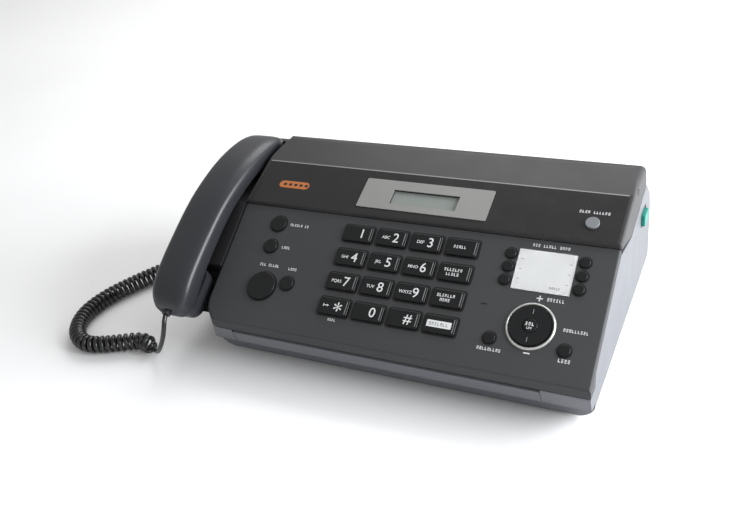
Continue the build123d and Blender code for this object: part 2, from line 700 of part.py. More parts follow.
# ---------------------------------------------------------------- handset cradle
WING_LEFT = -174.0
cradle_outline = [
    (-80.0, 33.0),
    (-85.5, 38.4),
    (-54.6, 56.2),
    (-58.6, 67.1),
    (-8.2, 95.7),
    (88.0, 95.7),
    (88.0, 105.0),
    (93.0, 105.0),
    (93.0, 33.0),
]
cradle_room = [
    (-77.5, 20.0),
    (-77.5, 40.1),
    (-51.9, 54.8),
    (-55.6, 65.9),
    (-7.5, 93.2),
    (90.5, 93.2),
    (90.5, 20.0),
]
HOOK_CENTRE = (-156.0, 58.0)
with BuildPart() as handset_cradle:
    add(prism(cradle_outline, WING_LEFT, CABINET_LEFT))
    left_corners = handset_cradle.edges().filter_by(Axis.Z).group_by(Axis.X)[0]
    fillet(left_corners.sort_by(Axis.Y)[-1], 4.0)
    add(prism(cradle_room, WING_LEFT + WALL, CABINET_LEFT - WALL), mode=Mode.SUBTRACT)
    with BuildSketch(Plane.XY.offset(90.0)):
        with Locations(HOOK_CENTRE):
            Rectangle(8.8, 8.8)
    extrude(amount=8.0, mode=Mode.SUBTRACT)
save(handset_cradle, "handset_cradle")

with BuildPart() as hook_switch:
    with BuildSketch(Plane.XY.offset(84.0)):
        with Locations(HOOK_CENTRE):
            Rectangle(8.0, 8.0)
    extrude(amount=12.9)
    fillet(hook_switch.faces().sort_by(Axis.Z)[-1].edges(), 1.0)
    with BuildSketch(Plane.XY.offset(82.0)):
        with Locations(HOOK_CENTRE):
            Rectangle(13.0, 13.0)
    extrude(amount=2.0)
save(hook_switch, "hook_switch")

# ---------------------------------------------------------------- handset
HANDSET_MIDDLE = (HANDSET_LEFT + HANDSET_RIGHT) / 2
HANDSET_WALL = 2.2
# stations along the arched grip: upper point, lower point (y, z), width, corner radius
GRIP_STATIONS = [
    ((-108.0, 55.5), (-103.5, 43.0), 25.0, 5.5),
    ((-102.5, 67.0), (-93.0, 46.5), 34.0, 8.0),
    ((-88.0, 79.0), (-77.5, 60.0), 36.0, 9.0),
    ((-62.0, 93.4), (-52.5, 75.5), 36.0, 9.0),
    ((-26.0, 109.6), (-17.5, 92.5), 36.4, 9.0),
    ((14.0, 119.6), (18.0, 102.0), 37.4, 9.0),
    ((48.0, 121.6), (48.0, 103.5), 38.0, 9.0),
    ((71.5, 118.0), (66.5, 101.5), 36.0, 8.2),
    ((81.5, 109.6), (76.5, 100.5), 26.0, 4.4),
]
MOUTH_PAD = (16.0, 40.0, 35.0)          # centre up the panel's slope, length, width
MOUTH_PAD_FACE = -8.0                   # below the panel's face
EAR_PAD = (58.0, 40.0, 35.0)            # centre y, length, width
EAR_PAD_Z = 97.4


def grip_block(inset):
    """The arched grip as one smooth body, or the room inside it when inset is a wall's thickness."""
    with BuildPart() as body:
        for number, (upper, lower, width, corner) in enumerate(GRIP_STATIONS):
            top = Vector(0, *upper)
            bottom = Vector(0, *lower)
            along = (top - bottom).normalized().cross(Vector(1, 0, 0))
            # the end stations move inwards by the wall's thickness
            shift = {0: inset, len(GRIP_STATIONS) - 1: -inset}.get(number, 0.0)
            centre = (top + bottom) * 0.5 + Vector(HANDSET_MIDDLE, 0, 0) + along * shift
            height = (top - bottom).length
            with BuildSketch(Plane(origin=centre, x_dir=(1, 0, 0), z_dir=along)):
                RectangleRounded(width - 2 * inset, height - 2 * inset, corner - inset)
        loft()
    return body.part


grip_solid = grip_block(0)
grip_room = grip_block(HANDSET_WALL)
parting_outline = [
    (-125.0, 48.5),
    (-98.0, 57.0),
    (-57.0, 83.0),
    (-22.0, 100.5),
    (16.0, 110.5),
    (48.0, 112.5),
    (95.0, 105.0),
    (95.0, 150.0),
    (-125.0, 150.0),
]
upper_half = prism(parting_outline, HANDSET_LEFT - 5, HANDSET_RIGHT + 5)

with BuildPart() as handset_back_shell:
    add(grip_solid)
    add(upper_half, mode=Mode.INTERSECT)
    add(grip_room, mode=Mode.SUBTRACT)
save(handset_back_shell, "handset_back_shell")

# the cord leaves the lower end of the handset through a short collar
end_top, end_bottom = (Vector(0, *point) for point in GRIP_STATIONS[0][:2])
CORD_EXIT_DIRECTION = Vector(1, 0, 0).cross(end_top - end_bottom).normalized()
COLLAR_LENGTH = 3.0
collar_root = (end_top + end_bottom) * 0.5 + Vector(-160.0, 0, 0)
CORD_EXIT = collar_root + CORD_EXIT_DIRECTION * COLLAR_LENGTH
with BuildPart() as handset_inner_shell:
    add(grip_solid)
    add(upper_half, mode=Mode.SUBTRACT)
    # pads over the mouthpiece and the earpiece
    with BuildSketch(PANEL.offset(MOUTH_PAD_FACE)):
        with Locations((HANDSET_MIDDLE, MOUTH_PAD[0])):
            RectangleRounded(MOUTH_PAD[2], MOUTH_PAD[1], 9.0)
    extrude(amount=14.0)
    with BuildSketch(Plane.XY.offset(EAR_PAD_Z)):
        with Locations((HANDSET_MIDDLE, EAR_PAD[0])):
            RectangleRounded(EAR_PAD[2], EAR_PAD[1], 10.0)
    extrude(amount=9.0)
    add(grip_room, mode=Mode.SUBTRACT)
    with BuildSketch(Plane(origin=CORD_EXIT, x_dir=(1, 0, 0), z_dir=CORD_EXIT_DIRECTION)):
        Circle(3.6)
    extrude(amount=-COLLAR_LENGTH - 1.0)
    # sound holes
    with BuildSketch(Plane.XY.offset(EAR_PAD_Z)):
        with Locations((HANDSET_MIDDLE, EAR_PAD[0])):
            with PolarLocations(6.0, 8):
                Circle(1.2)
            Circle(1.2)
    extrude(amount=3.0, mode=Mode.SUBTRACT)
    with BuildSketch(PANEL.offset(MOUTH_PAD_FACE)):
        with Locations((HANDSET_MIDDLE, MOUTH_PAD[0])):
            with GridLocations(4.0, 4.0, 3, 2):
                Circle(1.0)
    extrude(amount=3.0, mode=Mode.SUBTRACT)
save(handset_inner_shell, "handset_inner_shell")

# ---------------------------------------------------------------- handset cord
COIL_Z = COIL_DIAMETER / 2 + 0.1
LEAD_ROUTE = [
    tuple(CORD_EXIT),
    tuple(CORD_EXIT + CORD_EXIT_DIRECTION * 7.0),
    (-161.5, -120.0, 40.5),
    (-164.0, -122.5, 33.0),
    (-166.5, -122.0, 25.0),
    (-169.5, -118.5, 17.5),
    (-174.0, -113.2, 11.3),
    (-180.0, -108.4, COIL_Z),
    (-188.0, -106.0, COIL_Z),
]
COIL_ROUTE = [
    (-188.0, -106.0, COIL_Z),
    (-203.0, -101.5, COIL_Z),
    (-226.0, -113.5, COIL_Z),
    (-249.0, -121.5, COIL_Z),
    (-270.0, -110.0, COIL_Z),
    (-281.5, -85.0, COIL_Z),
    (-277.5, -57.0, COIL_Z),
    (-264.0, -30.0, COIL_Z),
    (-247.0, -3.0, COIL_Z),
    (-227.0, 20.0, COIL_Z),
    (-205.0, 36.0, COIL_Z),
    (-184.0, 43.0, COIL_Z),
]
TAIL_ROUTE = [
    (-184.0, 43.0, COIL_Z),
    (-174.0, 46.333, COIL_Z),
    (-164.5, 48.8, 11.5),
    (-156.5, 49.8, 16.5),
    (-149.0, 50.0, 20.0),
    (TAIL_SOCKET[0] - SOCKET_REACH, TAIL_SOCKET[1], TAIL_SOCKET[2]),
]


def save_cord(name, route, diameter):
    """A stretch of cord: straight runs joined by arcs as large as the runs allow."""
    points = [Vector(*point) for point in route]
    radii = []
    for before, corner, after in zip(points, points[1:], points[2:]):
        arriving = corner - before
        leaving = after - corner
        half_turn = radians(arriving.get_angle(leaving)) / 2
        radii.append(0.45 * min(arriving.length, leaving.length) / tan(half_turn))
    with BuildPart() as cord:
        with BuildLine() as path:
            FilletPolyline(*points, radius=radii)
        with BuildSketch(Plane(origin=points[0], z_dir=points[1] - points[0])):
            Circle(diameter / 2)
        sweep()
    length = path.wires()[0].length
    expected = pi * diameter**2 / 4 * length
    print(f"{name}: length {length:.1f}, radii {[round(radius, 1) for radius in radii]}, "
          f"volume {cord.part.volume:.0f} of {expected:.0f}")
    save(cord, name)


save_cord("handset_cord_lead", LEAD_ROUTE, CORD_DIAMETER)
save_cord("handset_cord_coil", COIL_ROUTE, COIL_DIAMETER)
save_cord("handset_cord_tail", TAIL_ROUTE, CORD_DIAMETER)
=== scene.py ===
import json
import math
import random

import bmesh
import bpy
from mathutils import Matrix, Vector


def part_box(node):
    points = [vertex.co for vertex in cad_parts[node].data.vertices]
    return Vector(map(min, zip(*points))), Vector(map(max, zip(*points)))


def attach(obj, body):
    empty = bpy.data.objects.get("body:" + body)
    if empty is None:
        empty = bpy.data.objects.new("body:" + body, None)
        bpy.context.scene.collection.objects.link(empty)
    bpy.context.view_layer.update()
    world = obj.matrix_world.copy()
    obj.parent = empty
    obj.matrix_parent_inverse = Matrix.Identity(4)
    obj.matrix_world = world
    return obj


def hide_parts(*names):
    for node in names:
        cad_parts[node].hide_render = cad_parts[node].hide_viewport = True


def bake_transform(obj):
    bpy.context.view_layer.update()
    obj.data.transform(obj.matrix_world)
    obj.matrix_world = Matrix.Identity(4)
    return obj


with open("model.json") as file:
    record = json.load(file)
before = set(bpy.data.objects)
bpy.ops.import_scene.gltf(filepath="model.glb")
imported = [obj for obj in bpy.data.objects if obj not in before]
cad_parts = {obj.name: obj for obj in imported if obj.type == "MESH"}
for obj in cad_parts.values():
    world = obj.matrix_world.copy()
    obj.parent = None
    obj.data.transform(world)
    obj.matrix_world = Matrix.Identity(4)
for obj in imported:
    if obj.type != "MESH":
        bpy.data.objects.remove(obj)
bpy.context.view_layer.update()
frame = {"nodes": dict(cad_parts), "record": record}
NODES = frame["nodes"]
MM = 0.001


# ---------------------------------------------------------------- camera
CAMERA_AT = Vector((0.27462, -0.52637, 0.44877))
CAMERA_RIGHT = Vector((0.904150, 0.407831, -0.127225))
CAMERA_FORWARD = Vector((-0.406333, 0.728971, -0.550903))
SENSOR_WIDTH = 36.0
LENS = 42.139
LENS_SHIFT = (-0.00693, -0.00053)


def make_camera():
    data = bpy.data.cameras.new("camera")
    camera = bpy.data.objects.new("camera", data)
    bpy.context.scene.collection.objects.link(camera)
    back = -CAMERA_FORWARD.normalized()
    up = back.cross(CAMERA_RIGHT).normalized()
    right = up.cross(back).normalized()
    turn = Matrix((right, up, back)).transposed()
    camera.matrix_world = Matrix.Translation(CAMERA_AT) @ turn.to_4x4()
    data.sensor_width = SENSOR_WIDTH
    data.lens = LENS
    data.shift_x, data.shift_y = LENS_SHIFT
    data.clip_start = 0.01
    bpy.context.scene.camera = camera


make_camera()


# ---------------------------------------------------------------- materials
def new_material(name):
    material = bpy.data.materials.new(name)
    material.use_nodes = True
    nodes = material.node_tree.nodes
    shader = nodes["Principled BSDF"]
    return material, nodes, material.node_tree.links, shader


def noise(nodes, links, scale, detail=2.0, stretch=None):
    """A noise texture over the object's own coordinates, stretched along an axis if asked."""
    place = nodes.new("ShaderNodeTexCoord")
    texture = nodes.new("ShaderNodeTexNoise")
    texture.inputs["Scale"].default_value = scale
    texture.inputs["Detail"].default_value = detail
    if stretch is None:
        links.new(place.outputs["Object"], texture.inputs["Vector"])
    else:
        mapping = nodes.new("ShaderNodeMapping")
        mapping.inputs["Scale"].default_value = stretch
        links.new(place.outputs["Object"], mapping.inputs["Vector"])
        links.new(mapping.outputs["Vector"], texture.inputs["Vector"])
    return texture


def vary(nodes, links, texture, low, high, low_at=0.35, high_at=0.65):
    """A ramp from low to high over the texture."""
    ramp = nodes.new("ShaderNodeValToRGB")
    ramp.color_ramp.elements[0].position = low_at
    ramp.color_ramp.elements[1].position = high_at
    ramp.color_ramp.elements[0].color = low
    ramp.color_ramp.elements[1].color = high
    links.new(texture.outputs["Fac"], ramp.inputs["Fac"])
    return ramp.outputs["Color"]


def plastic(name, colour, rough, grain=2600.0, depth=0.06, drift=0.10, coat=0.0, stretch=None, metal=0.0,
            shine=0.5):
    """Moulded plastic: fine spark-eroded grain, a slow drift of tone, and handling marks in the gloss."""
    material, nodes, links, shader = new_material(name)
    slow = noise(nodes, links, 9.0, 4.0)
    darker = [c * (1 - drift) for c in colour] + [1.0]
    lighter = [c * (1 + drift) for c in colour] + [1.0]
    links.new(vary(nodes, links, slow, darker, lighter), shader.inputs["Base Color"])
    smudges = noise(nodes, links, 55.0, 5.0)
    low = (rough - 0.015,) * 3 + (1.0,)
    high = (rough + 0.02,) * 3 + (1.0,)
    links.new(vary(nodes, links, smudges, low, high), shader.inputs["Roughness"])
    fine = noise(nodes, links, grain, 3.0, stretch)
    bump = nodes.new("ShaderNodeBump")
    bump.inputs["Strength"].default_value = depth
    bump.inputs["Distance"].default_value = 0.0002
    links.new(fine.outputs["Fac"], bump.inputs["Height"])
    links.new(bump.outputs["Normal"], shader.inputs["Normal"])
    shader.inputs["Coat Weight"].default_value = coat
    shader.inputs["Coat Roughness"].default_value = 0.12
    shader.inputs["Metallic"].default_value = metal
    shader.inputs["IOR"].default_value = 1.5
    shader.inputs["Specular IOR Level"].default_value = shine
    return material


def glass(name):
    """A clear cover sheet, faintly scuffed."""
    material, nodes, links, shader = new_material(name)
    shader.inputs["Base Color"].default_value = (1.0, 1.0, 1.0, 1.0)
    shader.inputs["Transmission Weight"].default_value = 1.0
    shader.inputs["IOR"].default_value = 1.2
    scuffs = noise(nodes, links, 130.0, 6.0)
    polished, scuffed = (0.03,) * 3 + (1.0,), (0.10,) * 3 + (1.0,)
    links.new(vary(nodes, links, scuffs, polished, scuffed), shader.inputs["Roughness"])
    return material


MATERIALS = {
    "cabinet_plastic": plastic("gunmetal", (0.128, 0.132, 0.148), 0.42, 1800.0, 0.05, 0.02, metal=0.20),
    "panel_plastic": plastic("charcoal", (0.041, 0.042, 0.0445), 0.56, 2400.0, 0.16, 0.05, shine=0.4),
    "cradle_plastic": plastic("cradle_black", (0.008, 0.008, 0.009), 0.55, 2200.0, 0.10, 0.10),
    "card_paper": plastic("card_white", (0.97, 0.98, 0.98), 0.6, 900.0, 0.04, 0.02),
    "cover_plastic": plastic("cover_charcoal", (0.030, 0.029, 0.030), 0.46, 2000.0, 0.05, 0.04, shine=0.32),
    "band_gloss": plastic("band_black", (0.014, 0.013, 0.014), 0.26, 1200.0, 0.02, 0.04, shine=0.4),
    "silver_plate": plastic("silver_paint", (0.235, 0.235, 0.225), 0.45, 1500.0, 0.05, 0.04, metal=0.2),
    "lcd_glass": plastic("lcd_grey", (0.205, 0.225, 0.210), 0.30, 600.0, 0.01, 0.06),
    "teal_plastic": plastic("teal", (0.0, 0.20, 0.155), 0.40, 1800.0, 0.06, 0.08),
    "roll_paper": plastic("thermal_paper", (0.80, 0.80, 0.78), 0.5, 700.0, 0.06, 0.03,
                          stretch=(1.0, 9.0, 9.0)),
    "roller_rubber": plastic("roller_black", (0.02, 0.02, 0.02), 0.7, 1500.0, 0.15, 0.12),
    "head_metal": plastic("sheet_metal", (0.55, 0.55, 0.56), 0.32, 500.0, 0.05, 0.05,
                          stretch=(0.1, 4, 4), metal=1.0),
    "gear_nylon": plastic("nylon", (0.72, 0.70, 0.64), 0.45, 900.0, 0.05, 0.04),
    "circuit_board": plastic("solder_mask", (0.012, 0.12, 0.04), 0.35, 400.0, 0.10, 0.20),
    "foot_rubber": plastic("foot_black", (0.02, 0.02, 0.02), 0.75, 1200.0, 0.18, 0.12),
    "handset_plastic": plastic("handset_black", (0.023, 0.024, 0.028), 0.34, 2000.0, 0.07, 0.04, shine=0.45),
    "cord_vinyl": plastic("cord_black", (0.008, 0.008, 0.009), 0.28, 900.0, 0.04, 0.10, coat=0.2),
    "key_gloss": plastic("key_black", (0.008, 0.0085, 0.009), 0.34, 1600.0, 0.03, 0.05, shine=0.28),
    "frosted_key": plastic("frosted_grey", (0.155, 0.165, 0.175), 0.5, 1400.0, 0.06, 0.05),
    "print_white": plastic("print_white", (0.66, 0.67, 0.67), 0.5, 900.0, 0.03, 0.04),
    # grey for print, and for the painted highlights at the keys' right ends and along the band's top edge
    "print_and_highlight_grey": plastic("print_and_highlight_grey", (0.24, 0.24, 0.24), 0.5, 900.0, 0.03, 0.04),
    "print_orange": plastic("print_orange", (0.42, 0.13, 0.03), 0.4, 900.0, 0.03, 0.05),
    # near black, for painted shade in the key gaps, the microphone slot and the handset's sound holes
    "opening_shade_black": plastic("opening_shade_black", (0.003, 0.003, 0.003), 0.6, 1600.0, 0.05, 0.10),
    "ring_silver": plastic("ring_silver", (0.55, 0.55, 0.53), 0.25, 900.0, 0.02, 0.04, metal=0.6),
}
CLEAR = glass("card_cover")

for entry in frame["record"]["subparts"]:
    node = NODES[entry["node"]]
    node.data.materials.clear()
    node.data.materials.append(MATERIALS[entry["material_slot"]])

ROUND_SMALL = ["caller_id_key", "stop_key", "copy_key", "broadcast_key", "menu_key"]


# ---------------------------------------------------------------- the sloping faces
def sloping_plane(y, z, tilt):
    """Axes of a face that rises to the back: across, up the slope, and outwards."""
    across = Vector((1, 0, 0))
    upward = Vector((0, math.cos(tilt), math.sin(tilt)))
    outward = Vector((0, -math.sin(tilt), math.cos(tilt)))
    matrix = Matrix((across, upward, outward)).transposed().to_4x4()
    return Matrix.Translation((0, y, z)) @ matrix


PANEL = sloping_plane(-94.0 * MM, 44.4 * MM, math.radians(30.0))
BAND_FRONT, BAND_REAR = (-5.5, 98.6), (38.5, 113.6)     # y, z of the band's lower and upper edge
BAND_TILT = math.atan2(BAND_REAR[1] - BAND_FRONT[1], BAND_REAR[0] - BAND_FRONT[0])
BAND = sloping_plane(BAND_FRONT[0] * MM, BAND_FRONT[1] * MM, BAND_TILT)


def local_box(node, plane):
    """Lowest and highest corner of a CAD node along a sloping face's own axes."""
    turn = plane.inverted()
    points = [turn @ vertex.co for vertex in NODES[node].data.vertices]
    low = [min(p[axis] for p in points) for axis in range(3)]
    high = [max(p[axis] for p in points) for axis in range(3)]
    return Vector(low), Vector(high)


def add_piece(name, mesh, body, material, plane=None):
    """Makes a piece from a mesh and lets it ride on a body."""
    if plane is not None:
        mesh.transform(plane)
    mesh.materials.clear()
    mesh.materials.append(material)
    piece = bpy.data.objects.new(name, mesh)
    bpy.context.scene.collection.objects.link(piece)
    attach(piece, body)
    return piece


def mesh_from(build, name):
    """A mesh filled by a bmesh function."""
    work = bmesh.new()
    build(work)
    bmesh.ops.recalc_face_normals(work, faces=work.faces)
    mesh = bpy.data.meshes.new(name)
    work.to_mesh(mesh)
    work.free()
    return mesh


PRINT_HEIGHT = 0.06 * MM
PRINT_LIFT = 0.02 * MM


def printed_text(name, text, size, body, plane, u, v, h, align="CENTER", slant=0.0, thick=0.0):
    """Printed digits or letters on a face."""
    data = bpy.data.curves.new(name, "FONT")
    data.body = text
    data.size = size
    data.align_x = align
    data.align_y = "CENTER"
    data.extrude = PRINT_HEIGHT / 2
    data.offset = thick
    data.shear = slant
    data.resolution_u = 4
    holder = bpy.data.objects.new(name + "_text", data)
    bpy.context.scene.collection.objects.link(holder)
    bpy.context.view_layer.update()
    mesh = bpy.data.meshes.new_from_object(holder.evaluated_get(bpy.context.evaluated_depsgraph_get()))
    bpy.data.objects.remove(holder)
    mesh.name = name
    shift = Matrix.Translation((u, v, h + PRINT_LIFT + PRINT_HEIGHT / 2))
    return add_piece(name, mesh, body, MATERIALS["print_white"], plane @ shift)


def rounded_outline(u0, u1, v0, v1, radius, steps=5):
    """Points round a rectangle with rounded corners."""
    points = []
    corners = ((u1 - radius, v1 - radius, 0), (u0 + radius, v1 - radius, 1),
               (u0 + radius, v0 + radius, 2), (u1 - radius, v0 + radius, 3))
    for centre_u, centre_v, quarter in corners:
        for step in range(steps + 1):
            angle = math.pi / 2 * (quarter + step / steps)
            points.append((centre_u + radius * math.cos(angle), centre_v + radius * math.sin(angle)))
    return points


def round_outline(u, v, radius, steps):
    """Points round a circle."""
    angles = [2 * math.pi * step / steps for step in range(steps)]
    return [(u + radius * math.cos(angle), v + radius * math.sin(angle)) for angle in angles]


def bridge(work, here, there):
    """Faces between two closed loops of as many points each."""
    count = len(here)
    for index in range(count):
        after = (index + 1) % count
        work.faces.new((here[index], here[after], there[after], there[index]))


def add_slab(work, outline, h0, h1):
    """A closed slab between two heights with a flat outline."""
    low = [work.verts.new((u, v, h0)) for u, v in outline]
    high = [work.verts.new((u, v, h1)) for u, v in outline]
    work.faces.new(high)
    work.faces.new(low[::-1])
    bridge(work, low, high)


def printed_marks(name, rects, body, plane, h, material="print_white", radius=0.12 * MM):
    """Thin bars on a face, as one piece: print, and also the painted highlights and painted shade that some
    callers make.
    """
    def build(work):
        bottom, top = h + PRINT_LIFT, h + PRINT_LIFT + PRINT_HEIGHT
        for u0, u1, v0, v1 in rects:
            corner = min(radius, (u1 - u0) * 0.45, (v1 - v0) * 0.45)
            add_slab(work, rounded_outline(u0, u1, v0, v1, corner, 2), bottom, top)
    return add_piece(name, mesh_from(build, name), body, MATERIALS[material], plane)


def caption_marks(u, v, letters, height, seed):
    """Small bars in the rhythm of a printed caption, centred at u, v. letters gives each word's length."""
    rng = random.Random(seed)
    step = height * 0.86
    total = (sum(letters) + len(letters) - 1) * step
    start = u - total / 2
    rects = []
    for word in letters:
        for _ in range(word):
            width = step * rng.uniform(0.52, 0.72)
            style = rng.choice(("bars", "frame", "stem"))
            if style == "stem":
                rects.append((start, start + width * 0.35, v - height / 2, v + height / 2))
                rects.append((start + width * 0.35, start + width, v - height / 2, v - height / 4))
            elif style == "bars":
                for level in (-0.5, -0.11, 0.28):
                    rects.append((start, start + width, v + level * height, v + (level + 0.22) * height))
            else:
                rects.append((start, start + width * 0.3, v - height / 2, v + height / 2))
                rects.append((start + width * 0.7, start + width, v - height / 2, v + height / 2))
                rects.append((start + width * 0.3, start + width * 0.7, v + height * 0.25, v + height / 2))
            start += step
        start += step
    return rects


# ---------------------------------------------------------------- key legends
LETTERS = {"key_2": "ABC", "key_3": "DEF", "key_4": "GHI", "key_5": "JKL", "key_6": "MNO",
           "key_7": "PQRS", "key_8": "TUV", "key_9": "WXYZ"}
SYMBOLS = {"key_star": "*", "key_hash": "#", **{f"key_{number}": str(number) for number in range(10)}}
FLANGE = 1.1 * MM                 # a key's flange, under the panel, is this much wider than its cap


def key_legends():
    """Digits, dial letters, star and hash sign on the dial keys."""
    for key, symbol in SYMBOLS.items():
        low, high = local_box(key, PANEL)
        right, middle, top = high.x - FLANGE, (low.y + high.y) / 2, high.z
        star = symbol == "*"
        printed_text(key + "_digit", symbol, (16.5 if star else 11.0) * MM, key, PANEL,
                     right - 8.6 * MM, middle - (3.4 if star else 0.2) * MM, top, thick=0.05 * MM)
        if key in LETTERS:
            printed_text(key + "_letters", LETTERS[key], 3.5 * MM, key, PANEL,
                         right - 16.8 * MM, middle - 0.2 * MM, top, thick=0.03 * MM)
    low, high = local_box("key_star", PANEL)
    left, middle = low.x + FLANGE + 3.4 * MM, (low.y + high.y) / 2
    arrow = [(left, left + 4.6 * MM, middle - 0.3 * MM, middle + 0.3 * MM),
             (left, left + 0.7 * MM, middle - 1.1 * MM, middle + 1.1 * MM),
             (left + 3.2 * MM, left + 4.0 * MM, middle - 0.8 * MM, middle + 0.8 * MM)]
    printed_marks("key_star_arrow", arrow, "key_star", PANEL, high.z)


def edge_lines():
    """Painted highlight: the fine light line along the right end of every long key."""
    for row in ("1 2 3 flash", "4 5 6 redial", "7 8 9 mute", "star 0 hash monitor"):
        for suffix in row.split():
            key = "key_" + suffix
            low, high = local_box(key, PANEL)
            right = high.x - FLANGE - 1.5 * MM
            rect = (right - 0.5 * MM, right, low.y + FLANGE + 1.7 * MM, high.y - FLANGE - 1.5 * MM)
            printed_marks(key + "_edge_highlight", [rect], key, PANEL, high.z, "print_and_highlight_grey")


def function_marks():
    """Caption marks on the function keys, and the light label field of the last one."""
    words = {"key_flash": [[5]], "key_redial": [[7], [5]], "key_mute": [[7], [4]]}
    for key, lines in words.items():
        low, high = local_box(key, PANEL)
        middle_u = (low.x + high.x) / 2 - 1.2 * MM
        middle_v = (low.y + high.y) / 2
        rects = []
        for index, letters in enumerate(lines):
            rise = 0.0 if len(lines) == 1 else (1.8 - 3.6 * index) * MM
            rects += caption_marks(middle_u, middle_v + rise, letters, 2.4 * MM, key + str(index))
        printed_marks(key + "_marks", rects, key, PANEL, high.z)
    low, high = local_box("key_monitor", PANEL)
    middle_u, middle_v = (low.x + high.x) / 2 - 0.6 * MM, (low.y + high.y) / 2
    field = [(middle_u - 9.4 * MM, middle_u + 9.4 * MM, middle_v - 2.6 * MM, middle_v + 2.6 * MM)]
    printed_marks("key_monitor_field", field, "key_monitor", PANEL, high.z, radius=0.4 * MM)
    letters = caption_marks(middle_u, middle_v, [7], 2.5 * MM, "monitor")
    printed_marks("key_monitor_marks", letters, "key_monitor", PANEL, high.z + PRINT_HEIGHT, "print_and_highlight_grey")


def panel_captions():
    """Caption marks beside the panel's keys: middle across and up the slope, word lengths, height."""
    places = {
        "caller_id_caption": (-77.2, 87.2, [6, 2], 2.2),
        "stop_caption": (-82.2, 66.4, [4], 2.3),
        "start_caption": (-91.0, 49.4, [3, 5], 2.3),
        "copy_caption": (-69.4, 48.8, [4], 2.3),
        "tone_caption": (-22.3, 13.4, [4], 2.0),
        "directory_caption": (128.5, 97.0, [3, 5, 4], 2.3),
        "volume_caption": (140.6, 56.2, [6], 2.5),
        "book_caption": (159.0, 35.8, [9], 2.3),
        "broadcast_caption": (102.4, 12.7, [9], 2.3),
        "menu_caption": (155.6, 13.6, [4], 2.6),
    }
    for name, (u, v, letters, height) in places.items():
        rects = caption_marks(u * MM, v * MM, letters, height * MM, name)
        printed_marks(name, rects, "cabinet", PANEL, 0.0)
    signs = [(126.6, 131.0, 55.7, 56.6), (128.35, 129.25, 54.0, 58.3), (126.6, 131.2, 14.2, 15.1)]
    signs = [tuple(value * MM for value in rect) for rect in signs]
    printed_marks("volume_signs", signs, "cabinet", PANEL, 0.0)
    # painted shade: a dark bar where the microphone slot lies in shade
    slot = [(88.0 * MM, 92.6 * MM, 45.3 * MM, 46.4 * MM)]
    printed_marks("microphone_slot_shade", slot, "cabinet", PANEL, 0.0, "opening_shade_black")


SHADE_GAP = 0.2 * MM               # from a key's cap to the inner edge of its ring of painted shade
SHADE_REACH = 1.7 * MM             # and to the ring's outer edge, on a long key
ROUND_SHADE_REACH = 1.4 * MM       # the same on a round key
ROUND_SHADE_STEPS = 40


def key_wells():
    """Painted shade: dark rings round the keys, where the gaps round the caps in their openings fall into
    shade.
    """
    def ring(work, inner, outer, h0, h1):
        loops = [[work.verts.new((u, v, h)) for u, v in outline]
                 for outline, h in ((inner, h0), (inner, h1), (outer, h1), (outer, h0))]
        for here, there in zip(loops, loops[1:] + loops[:1]):
            bridge(work, here, there)

    def build(work):
        for key in NODES:
            if not key.startswith("key_"):
                continue
            low, high = local_box(key, PANEL)
            u0, u1, v0, v1 = low.x + FLANGE, high.x - FLANGE, low.y + FLANGE, high.y - FLANGE
            outlines = [rounded_outline(u0 - grow, u1 + grow, v0 - grow, v1 + grow, corner)
                        for grow, corner in ((SHADE_GAP, 1.9 * MM), (SHADE_REACH, 2.6 * MM))]
            ring(work, *outlines, PRINT_LIFT, 2 * PRINT_LIFT)
        for key in ROUND_SMALL + ["start_key"] + [f"one_touch_{number}" for number in range(1, 7)]:
            low, high = local_box(key, PANEL)
            radius = (high.x - low.x) / 2 - FLANGE
            u, v = (low.x + high.x) / 2, (low.y + high.y) / 2
            outlines = [round_outline(u, v, radius + reach, ROUND_SHADE_STEPS)
                        for reach in (SHADE_GAP, ROUND_SHADE_REACH)]
            ring(work, *outlines, PRINT_LIFT, 2 * PRINT_LIFT)
    add_piece("key_wells", mesh_from(build, "key_wells"), "cabinet",
              MATERIALS["opening_shade_black"], PANEL)


def band_marks():
    """Caption, a painted highlight along the band's top edge, and badge on the cover's band."""
    answer = caption_marks(152.6 * MM, 26.8 * MM, [4, 6], 2.4 * MM, "answer")
    printed_marks("auto_answer_caption", answer, "cover", BAND, 0.0)
    # painted highlight: a light line along the band's top edge, where it meets the rear cover
    band_highlight = [(-131.0 * MM, 173.4 * MM, 45.3 * MM, 46.3 * MM)]
    printed_marks("band_edge_highlight", band_highlight, "cover", BAND, 0.0, "print_and_highlight_grey")

    def build(work):
        add_slab(work, rounded_outline(-111.0 * MM, -83.0 * MM, 17.4 * MM, 24.8 * MM, 3.6 * MM, 8),
                 PRINT_LIFT, PRINT_LIFT + 0.25 * MM)
    add_piece("badge", mesh_from(build, "badge"), "cover", MATERIALS["print_orange"], BAND)
    bars = [(-107.0 + 5.0 * k, -104.0 + 5.0 * k, 19.8, 22.4) for k in range(5)]
    printed_marks("badge_marks", [tuple(value * MM for value in rect) for rect in bars], "cover", BAND,
                  0.25 * MM + PRINT_LIFT, "band_gloss", 0.9 * MM)


def lathe(profile, centre, steps=64):
    """A mesh turned round a face's outward axis. profile is a closed loop of (radius, height)."""
    def build(work):
        rings = []
        for step in range(steps):
            angle = 2 * math.pi * step / steps
            rings.append([
                work.verts.new((centre[0] + r * math.cos(angle), centre[1] + r * math.sin(angle), h))
                for r, h in profile
            ])
        for here, there in zip(rings, rings[1:] + rings[:1]):
            bridge(work, here, there)
    return mesh_from(build, "lathe")


def smooth(piece):
    for face in piece.data.polygons:
        face.use_smooth = True


